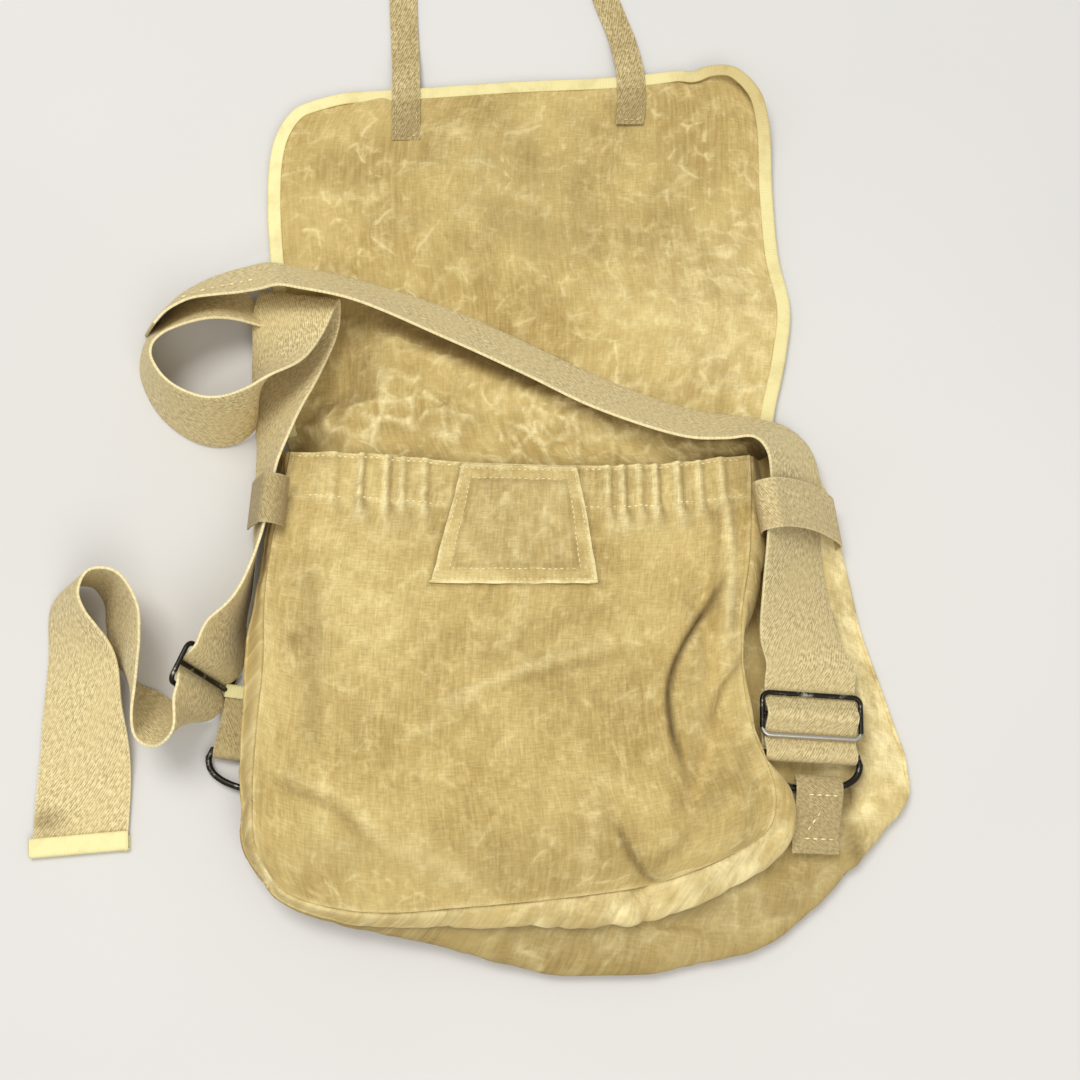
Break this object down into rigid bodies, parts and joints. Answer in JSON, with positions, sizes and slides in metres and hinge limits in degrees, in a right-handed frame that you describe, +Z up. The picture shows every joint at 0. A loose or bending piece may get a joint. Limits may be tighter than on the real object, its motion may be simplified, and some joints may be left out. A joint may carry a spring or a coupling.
{
  "type": "canvas shoulder bag",
  "caption": "Soft canvas shoulder bag lying on its back with the flap opened out, a wide webbing strap through slide buckles and rings, cloth keepers and two closing straps.",
  "frame": {"origin": "on the surface that the bag lies on, under the middle of its back panel", "axes": "+Z up from the surface, +Y from the bag's bottom towards its opened flap, +X to the right as seen from above with the flap away"},
  "size_m": [0.4736, 0.6803, 0.0578],
  "materials": {
    "canvas": "washed cotton canvas, mottled khaki",
    "webbing": "twill cotton webbing with pale edges",
    "closing": "narrow cotton webbing",
    "tape": "pale cotton binding tape",
    "steel": "blackened steel wire, worn"
  },
  "bodies": {
    "root": {"front_panel": "canvas", "gusset": "canvas", "back_and_flap": "canvas", "flap_binding": "tape", "front_patch": "canvas", "strap_right": "webbing", "strap_left": "webbing", "tail_binding": "tape", "buckle_right": "steel", "buckle_left": "steel", "ring_right": "steel", "ring_left": "steel", "ring_tab_right": "webbing", "ring_tab_left": "webbing", "ring_loop_left": "webbing", "keeper_right": "webbing", "keeper_left": "webbing", "flap_strap_left": "closing", "flap_strap_right": "closing"}
  },
  "joints": []
}
